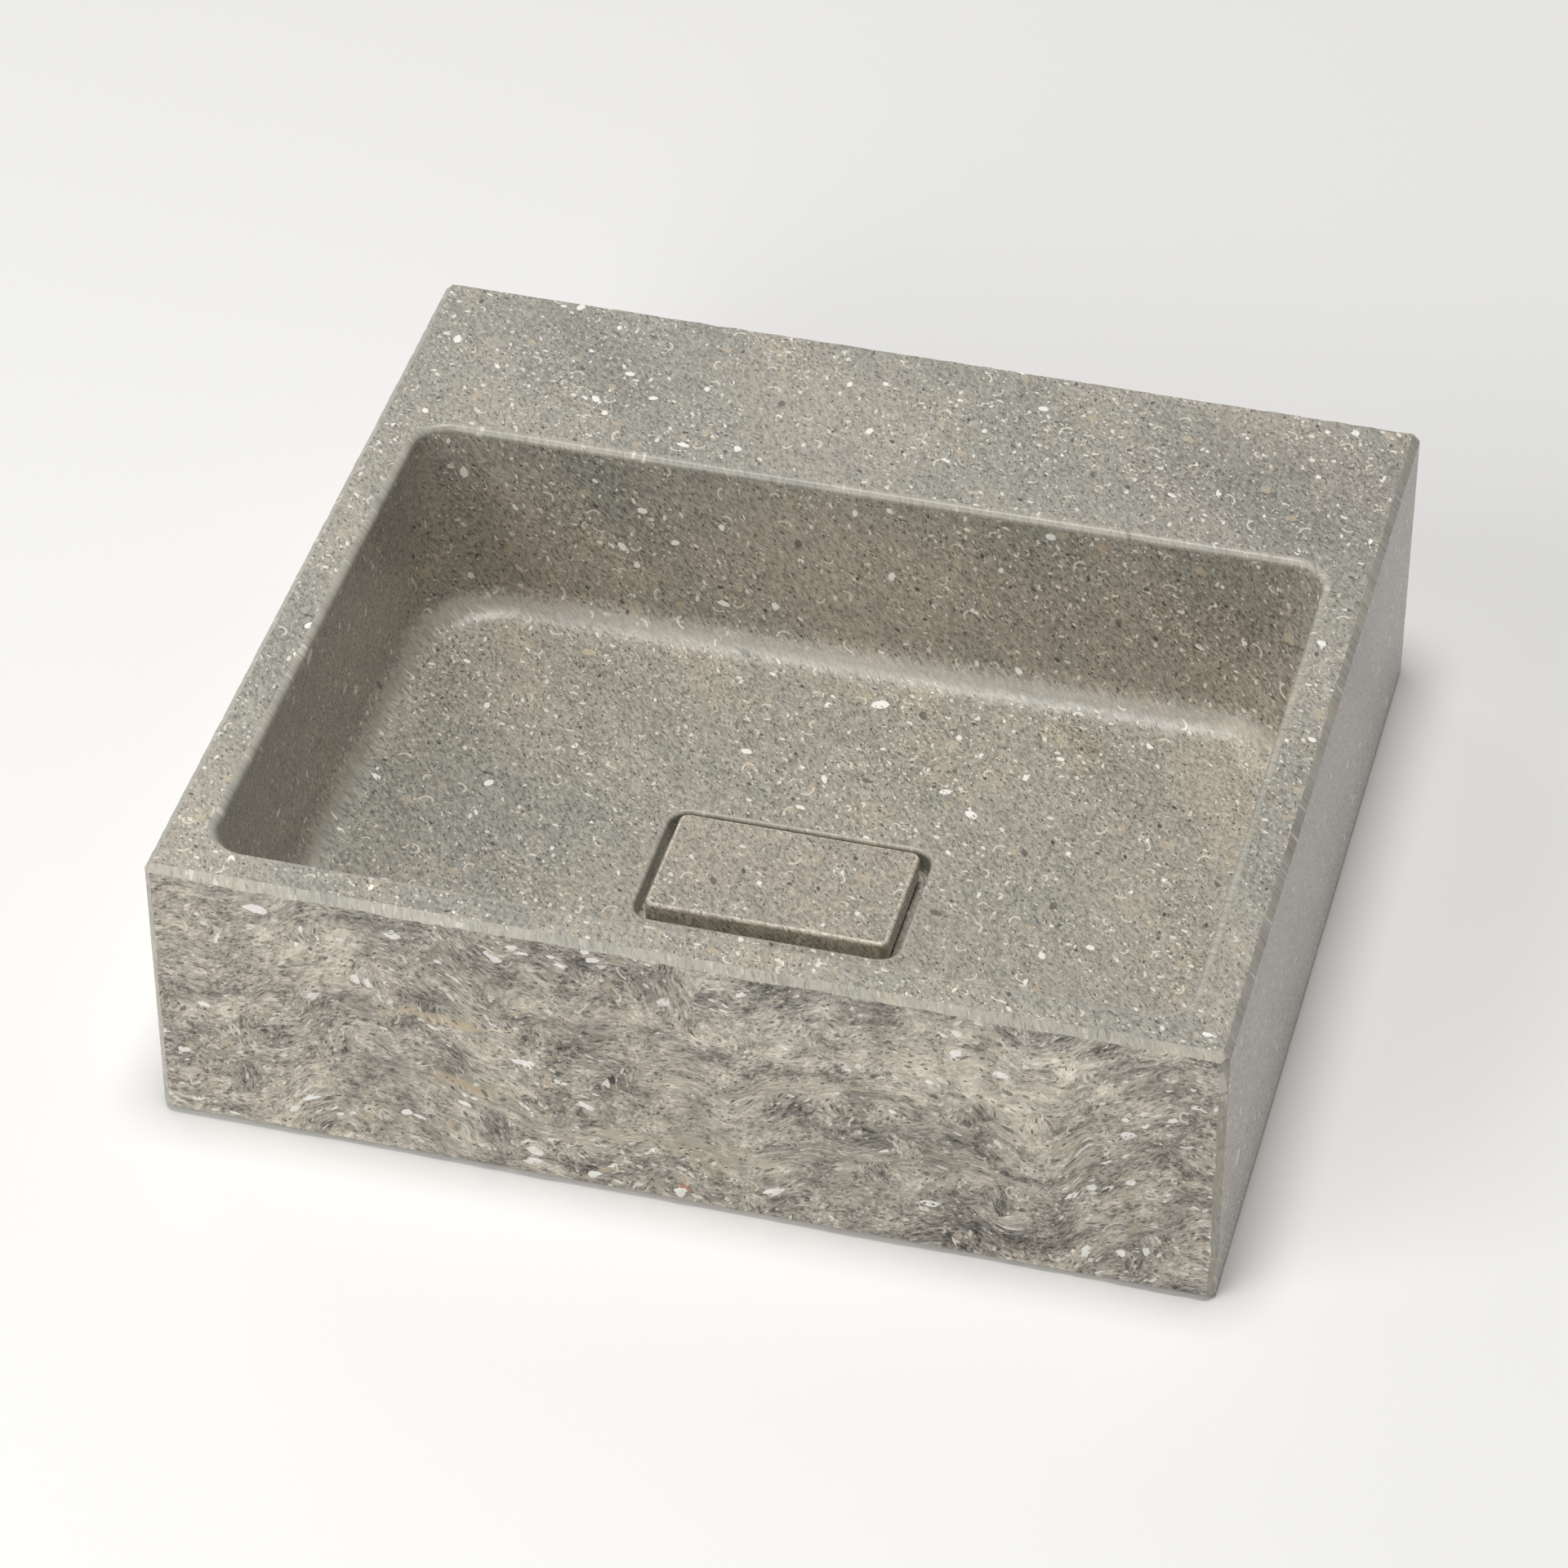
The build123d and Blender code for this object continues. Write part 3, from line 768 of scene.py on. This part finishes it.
# Floor with its fall to the recess, then the recess down to its own floor
def floorRings(bm, edge):
    steps = block["cornerSteps"]
    middle = block["middle"]
    outer = roundedPoints(block["floorEdge"], block["floorCorner"], steps)
    inner = roundedPoints(block["floorLow"], block["floorLowCorner"], steps)
    rings = [edge]
    for step in range(block["floorSteps"] + 1):
        share = step / block["floorSteps"]
        ease = share * share * (3 - 2 * share)
        fall = share + (ease - share) * block["ease"]
        height = block["footHeight"] + (block["lowHeight"] - block["footHeight"]) * fall
        rings.append([bm.verts.new((*(a.lerp(b, share) + Vector((0, middle))), height))
                      for (a, _), (b, _) in zip(outer, inner)])
    lip = roundedPoints(block["recess"], block["recessCorner"], steps)
    size = block["recessEdge"]
    rings.append(addRing(bm, lip, block["lowHeight"], middle, -size - block["support"]))
    for step in range(block["filletSteps"] + 1):
        turn = math.pi / 2 * step / block["filletSteps"]
        rings.append(addRing(bm, lip, block["lowHeight"] - size * (1 - math.cos(turn)), middle,
                             -size * (1 - math.sin(turn))))
    rings.append(addRing(bm, lip, block["lowHeight"] - size - block["support"], middle))
    root = block["recessRoot"]
    rings.append(addRing(bm, lip, block["recessFloor"] + root + block["support"], middle))
    for step in range(block["filletSteps"] // 2 + 1):
        turn = math.pi / 2 * step / (block["filletSteps"] // 2)
        rings.append(addRing(bm, lip, block["recessFloor"] + root * (1 - math.sin(turn)),
                             middle, root * (1 - math.cos(turn))))
    return rings


# Waste hole, from the recess floor down to the underside
def holeRings(bm):
    rings = []
    for radius, height in (
        (block["rebate"], block["recessFloor"]), (block["rebate"], block["rebateFloor"]),
        (block["hole"], block["rebateFloor"]), (block["hole"], block["pocketRoof"]),
        (block["pocket"], block["pocketRoof"]), (block["pocket"], block["pocketEdge"]),
        (block["pocket"] + block["pocketEdge"], 0.0),
    ):
        rings.append(addRing(bm, circlePoints(radius, block["roundSteps"]), height,
                             block["middle"]))
    return rings


# Straight chain between two corners, wandering a little in one direction
def arris(bm, start, end, way, wander):
    length = (end.co - start.co).length
    count = max(2, round(length / block["chipStep"]))
    chain = [start]
    for step in range(1, count):
        spot = start.co.lerp(end.co, step / count) + Vector(way) * wander.gauss(0, block["chip"])
        chain.append(bm.verts.new(spot))
    return chain + [end]


def buildBlock():
    tree, sizes = splitFaceTree(hewn)
    bm = bmesh.new()
    bm.from_mesh(grow("splitFace", tree, sizes))
    bm.verts.ensure_lookup_table()
    rows, columns = splitFace["Rows"], splitFace["Columns"]
    grid = [[bm.verts[column * rows + row] for row in range(rows)] for column in range(columns)]
    for face in bm.faces:
        face.smooth = True
        face.material_index = 1

    wander = random.Random(block["seed"])
    halfX = block["width"] / 2
    halfY = block["depth"] / 2
    top = block["height"]
    cut = block["chamfer"]
    front = cut + block["setback"]

    # Corners of the flat faces, named by the face and by the side that they are on
    corner = {}
    for sign in (-1, 1):
        for level, inner in ((top, top - cut), (0.0, cut)):
            key = (sign, level > 0)
            x = sign * halfX
            for name, spot in {
                "flatFront": (x - sign * cut, front - halfY, level),
                "flatBack": (x - sign * cut, halfY - cut, level),
                "sideFront": (x, front - halfY, inner),
                "sideBack": (x, halfY - cut, inner),
                "back": (x - sign * cut, halfY, inner),
                "mitre": (x - sign * cut / 2, front - cut / 2 - halfY,
                          level + (cut / 2 if level == 0 else -cut / 2)),
            }.items():
                corner[(name, *key)] = bm.verts.new(spot)

    flatEdge = {"closed": False, "smooth": False, "slot": 2}
    chains = {}

    def edge(name, start, end, way):
        chains[name] = arris(bm, corner[start], corner[end], way, wander)

    for high in (True, False):
        level = "top" if high else "base"
        for sign, side in ((-1, "Left"), (1, "Right")):
            edge(level + side, ("flatFront", sign, high), ("flatBack", sign, high), (1, 0, 0))
            edge("side" + side + level, ("sideFront", sign, high), ("sideBack", sign, high),
                 (0, 0, 1))
            band(bm, chains[level + side], chains["side" + side + level], **flatEdge)
        edge(level + "Back", ("flatBack", -1, high), ("flatBack", 1, high), (0, 1, 0))
        edge("back" + level, ("back", -1, high), ("back", 1, high), (0, 0, 1))
        band(bm, chains[level + "Back"], chains["back" + level], **flatEdge)
    for sign, side in ((-1, "Left"), (1, "Right")):
        edge("sideBack" + side, ("sideBack", sign, False), ("sideBack", sign, True), (0, 1, 0))
        edge("back" + side, ("back", sign, False), ("back", sign, True), (1, 0, 0))
        band(bm, chains["sideBack" + side], chains["back" + side], **flatEdge)
        for high in (True, False):
            bm.faces.new((corner[("flatBack", sign, high)], corner[("sideBack", sign, high)],
                          corner[("back", sign, high)]))
            bm.faces.new((corner[("flatFront", sign, high)], corner[("sideFront", sign, high)],
                          corner[("mitre", sign, high)]))

    # Front chamfers, from the ragged border of the split face to the flat faces
    def frontStrip(border, start, end, startMitre, endMitre, way):
        chain = [start]
        for step in range(1, len(border) - 1):
            spot = start.co.lerp(end.co, step / (len(border) - 1))
            spot += Vector(way) * wander.gauss(0, block["chip"] / 2)
            chain.append(bm.verts.new(spot))
        chain.append(end)
        band(bm, border[1:-1], chain[1:-1], **flatEdge)
        for cap in ((border[0], border[1], chain[1], chain[0], startMitre),
                    (border[-2], border[-1], endMitre, chain[-1], chain[-2])):
            bm.faces.new(cap).material_index = flatEdge["slot"]
        return chain

    for high, row in ((True, rows - 1), (False, 0)):
        chains[("top" if high else "base") + "Front"] = frontStrip(
            [column[row] for column in grid], corner[("flatFront", -1, high)],
            corner[("flatFront", 1, high)], corner[("mitre", -1, high)],
            corner[("mitre", 1, high)], (0, 1, 0))
    for sign, side, column in ((-1, "Left", grid[0]), (1, "Right", grid[-1])):
        chains["sideFront" + side] = frontStrip(
            column, corner[("sideFront", sign, False)], corner[("sideFront", sign, True)],
            corner[("mitre", sign, False)], corner[("mitre", sign, True)], (0, 1, 0))

    bowl = bowlRings(bm)
    ground = floorRings(bm, bowl[-1])
    hole = holeRings(bm)
    rounded = block["filletSteps"] + 3  # rings of the rim: a flat one, the rounding, a wall one
    bands(bm, bowl[:rounded], slot=2)
    bands(bm, bowl[rounded - 1:])
    lip = block["floorSteps"] + 3  # first ring of the recess's rounded edge
    bands(bm, ground[:lip + 1])
    bands(bm, ground[lip:lip + block["filletSteps"] + 1], slot=2)
    bands(bm, ground[lip + block["filletSteps"]:])
    bands(bm, hole)

    def around(*parts):  # joins chains end to end into one loop
        loop = []
        for part in parts:
            if loop and part[0] is not loop[-1]:
                part = part[::-1]
            loop += part if not loop else part[1:]
        return loop[:-1]

    panel(bm, "xy", around(chains["topFront"], chains["topRight"], chains["topBack"],
                           chains["topLeft"]), bowl[0])
    panel(bm, "xy", around(chains["baseFront"], chains["baseRight"], chains["baseBack"],
                           chains["baseLeft"]), hole[-1])
    panel(bm, "xy", ground[-1], hole[0])
    panel(bm, "xz", around(chains["backtop"], chains["backRight"], chains["backbase"],
                           chains["backLeft"]))
    for side in ("Left", "Right"):
        panel(bm, "yz", around(chains["side" + side + "top"], chains["sideBack" + side],
                               chains["side" + side + "base"], chains["sideFront" + side]))
    return bm


# Scales a drawn piece to metres, closes it and makes it an object
def finishPiece(bm, name, materials):
    bmesh.ops.remove_doubles(bm, verts=bm.verts, dist=meshing["merge"])
    bmesh.ops.recalc_face_normals(bm, faces=bm.faces)
    bmesh.ops.transform(bm, matrix=Matrix.Scale(mm, 4), verts=bm.verts)
    openEdges = sum(1 for edge in bm.edges if not edge.is_manifold)
    mesh = bpy.data.meshes.new(name)
    bm.to_mesh(mesh)
    bm.free()
    for material in materials:
        mesh.materials.append(material)
    mesh.set_sharp_from_angle(angle=math.radians(meshing["sharp"]))
    piece = bpy.data.objects.new(name, mesh)
    bpy.context.scene.collection.objects.link(piece)
    print(f"{name}: {len(mesh.polygons)} faces, {openEdges} open edges")
    return piece


stoneBlock = finishPiece(buildBlock(), "stoneBlock", [honed, hewn, arrisStone])
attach(stoneBlock, "basin")
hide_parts("basin_block")

# The loose drain cover
cover = {
    "half": (59.5, 34.5), "corner": 4.5, "base": 28.0, "top": 41.5,
    "edge": 1.8, "underChamfer": 1.0,
    "socket": 4.1, "sunk": 1.5, "spots": (46.5, 21.5),
    "cornerSteps": 10, "edgeSteps": 6, "roundSteps": 32,
}


def buildCover():
    bm = bmesh.new()
    shape = roundedPoints(cover["half"], cover["corner"], cover["cornerSteps"])
    middle = block["middle"]
    edge = cover["edge"]
    under = cover["underChamfer"]
    rings = [addRing(bm, shape, cover["base"], middle, under),
             addRing(bm, shape, cover["base"] + under, middle),
             addRing(bm, shape, cover["top"] - edge - block["support"], middle)]
    for step in range(cover["edgeSteps"] + 1):
        turn = math.pi / 2 * step / cover["edgeSteps"]
        rings.append(addRing(bm, shape, cover["top"] - edge * (1 - math.sin(turn)), middle,
                             edge * (1 - math.cos(turn))))
    rings.append(addRing(bm, shape, cover["top"], middle, edge + block["support"]))
    bands(bm, rings[:2])
    # Sides and rounded top edge, in the lighter stone with the painted light and highlight
    bands(bm, rings[1:-1], slot=1)
    bands(bm, rings[-2:])
    bm.faces.new(rings[-1])
    mouths = []
    for signX in (-1, 1):
        for signY in (-1, 1):
            spot = Vector((signX * cover["spots"][0], signY * cover["spots"][1]))
            points = [(p + spot, out) for p, out in
                      circlePoints(cover["socket"], cover["roundSteps"])]
            mouth = addRing(bm, points, cover["base"], middle)
            roof = addRing(bm, points, cover["base"] + cover["sunk"], middle)
            band(bm, mouth, roof)
            bm.faces.new(roof)
            mouths.append(mouth)
    panel(bm, "xy", rings[0], *mouths)
    return bm


stoneCover = finishPiece(buildCover(), "stoneCover", [coverStone, coverEdgePaintedLightStone])
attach(stoneCover, "cover")
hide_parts("drain_cover")

# Hidden parts of the waste, and the pads under the cover
metals = {
    "waste_body": {
        "bright": tint(230, 230, 232), "dull": tint(186, 187, 190), "roughness": 0.12,
        "ringSize": 0.5, "rings": 0.10, "spotSize": 7.0, "spots": 0.10, "bump": 0.01},
    "strainer": {
        "bright": tint(205, 205, 206), "dull": tint(168, 168, 168), "roughness": 0.30,
        "ringSize": 0.35, "rings": 0.30, "spotSize": 11.0, "spots": 0.10, "bump": 0.02},
    "strainer_screw": {
        "bright": tint(212, 212, 213), "dull": tint(170, 170, 171), "roughness": 0.22,
        "ringSize": 0.3, "rings": 0.22, "spotSize": 4.0, "spots": 0.12, "bump": 0.02},
    "back_nut": {
        "bright": tint(214, 187, 126), "dull": tint(158, 124, 72), "roughness": 0.34,
        "ringSize": 0.45, "rings": 0.35, "spotSize": 9.0, "spots": 0.22, "bump": 0.03},
}
mouldings = {
    "cover_pads": {
        "light": tint(66, 65, 63), "dark": tint(50, 49, 48), "dust": tint(128, 123, 114),
        "dustCover": 0.35, "grainSize": 0.35, "roughness": 0.74, "bump": 0.03},
    "flange_seal": {
        "light": tint(54, 54, 54), "dark": tint(38, 38, 39), "dust": tint(110, 106, 100),
        "dustCover": 0.30, "grainSize": 0.5, "roughness": 0.66, "bump": 0.03},
    "base_seal": {
        "light": tint(54, 54, 54), "dark": tint(38, 38, 39), "dust": tint(110, 106, 100),
        "dustCover": 0.40, "grainSize": 0.5, "roughness": 0.66, "bump": 0.03},
    "slip_washer": {
        "light": tint(229, 228, 222), "dark": tint(213, 211, 202), "dust": tint(168, 160, 146),
        "dustCover": 0.22, "grainSize": 0.8, "roughness": 0.42, "bump": 0.01},
}
finishes = {
    "ringNoise": (3.0, 0.7), "spotNoise": (4.0, 0.7), "spotSpan": (0.45, 0.70), "dulled": 0.7,
    "grainNoise": (2.0, 0.6), "cloudNoise": (6.0, 4.0, 0.6), "cloudSpan": (0.35, 0.65),
    "dustNoise": (1.8, 4.0, 0.8), "dustSpan": (0.52, 0.72),
    "grainRough": 0.2, "dustRough": 0.3, "bumpStrength": 0.5,
}


# Metal turned on a lathe: fine rings round the axis of the waste, spots and dulled places
def turnedMetal(name, look):
    material, start = newMaterial(name)
    place = placeOn(start)
    centred = place.vector("SUBTRACT", (0.0, block["middle"], 0.0))
    radius = centred.stretch(1, 1, 0).vector("LENGTH")
    rings = radius.join(centred.part("Z"), 0.0)
    rings = rings.noise(look["ringSize"], *finishes["ringNoise"]) - 0.5
    worn = place.noise(look["spotSize"], *finishes["spotNoise"], space="3D")
    worn = worn.step(*finishes["spotSpan"])
    colour = start.between(look["bright"], look["dull"],
                           worn * finishes["dulled"] + rings * look["rings"])
    bump = start.node("ShaderNodeBump", {
        "Height": rings, "Strength": finishes["bumpStrength"], "Distance": look["bump"] * mm})
    rough = look["roughness"] + rings * look["rings"] + worn * look["spots"]
    surface(start, {"Base Color": colour, "Metallic": 1.0, "Roughness": rough, "Normal": bump})
    return material


# Moulded rubber or plastic: fine grain, cloudy colour and dust that has settled on it
def moulded(name, look):
    material, start = newMaterial(name)
    place = placeOn(start)
    grain = place.noise(look["grainSize"], *finishes["grainNoise"], space="3D") - 0.5
    cloud = place.noise(*finishes["cloudNoise"], space="3D").step(*finishes["cloudSpan"])
    dust = place.noise(*finishes["dustNoise"], space="3D").step(*finishes["dustSpan"])
    dust = dust * look["dustCover"]
    colour = start.between(look["dark"], look["light"], cloud).mix(look["dust"], dust)
    bump = start.node("ShaderNodeBump", {
        "Height": grain, "Strength": finishes["bumpStrength"], "Distance": look["bump"] * mm})
    rough = look["roughness"] + grain * finishes["grainRough"] + dust * finishes["dustRough"]
    surface(start, {"Base Color": colour, "Roughness": rough, "Normal": bump})
    return material


for finish, looks in ((turnedMetal, metals), (moulded, mouldings)):
    for name, look in looks.items():
        material = finish(name + "Finish", look)
        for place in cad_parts[name].material_slots:
            place.material = material
print("hidden parts finished")

# Floor and light
stage = {
    "floorReach": 6.0,
    "floorColour": tint(241, 240, 238),
    "skyColour": (1.0, 1.0, 1.0, 1.0),
    "skyStrength": 0.03,
    # Degrees round from the front and above the floor, metres away, metres across, watts
    "lamps": {
        "overhead": (0.0, 88.0, 6.4, 2.4, 290.0), "front": (340.0, 20.0, 4.0, 2.0, 48.0),
        "frontLeft": (318.0, 37.0, 2.6, 1.4, 17.0), "backLeft": (225.0, 35.0, 3.2, 1.2, 6.0),
        "lowRight": (120.0, 8.0, 3.6, 1.2, 3.2), "backRight": (135.0, 40.0, 4.0, 1.8, 6.5),
    },
}


def buildFloor():
    reach = stage["floorReach"]
    mesh = bpy.data.meshes.new("floor")
    mesh.from_pydata([(-reach, -reach, 0), (reach, -reach, 0), (reach, reach, 0),
                      (-reach, reach, 0)], [], [(0, 1, 2, 3)])
    material, start = newMaterial("paleFloor")
    surface(start, {"Base Color": stage["floorColour"], "Roughness": 0.9,
                    "Specular IOR Level": 0.0})
    mesh.materials.append(material)
    floor = bpy.data.objects.new("floor", mesh)
    bpy.context.scene.collection.objects.link(floor)


def buildSky():
    world = bpy.data.worlds.new("studio")
    bpy.context.scene.world = world
    world.use_nodes = True
    world.node_tree.nodes.clear()
    start = Wire(world.node_tree)
    seen = start.node("ShaderNodeLightPath", output="Is Camera Ray")
    seen = seen.maths("MAXIMUM", start.node("ShaderNodeLightPath", output="Is Glossy Ray"))
    back = start.node("ShaderNodeBackground", {
        "Color": stage["skyColour"],
        "Strength": stage["skyStrength"] + seen * (1 - stage["skyStrength"])})
    start.node("ShaderNodeOutputWorld", {"Surface": back}, None)


def buildLamps():
    for name, (around, above, reach, size, watts) in stage["lamps"].items():
        back = towards(around, above)
        data = bpy.data.lights.new(name, "AREA")
        data.shape = "DISK"
        data.size = size
        data.energy = watts
        lamp = bpy.data.objects.new(name, data)
        bpy.context.scene.collection.objects.link(lamp)
        lamp.location = back * reach
        lamp.rotation_euler = (-back).to_track_quat("-Z", "Y").to_euler()
        lamp.visible_camera = False


buildFloor()
buildSky()
buildLamps()
bpy.context.scene.view_settings.view_transform = "Standard"
print("stage lit")
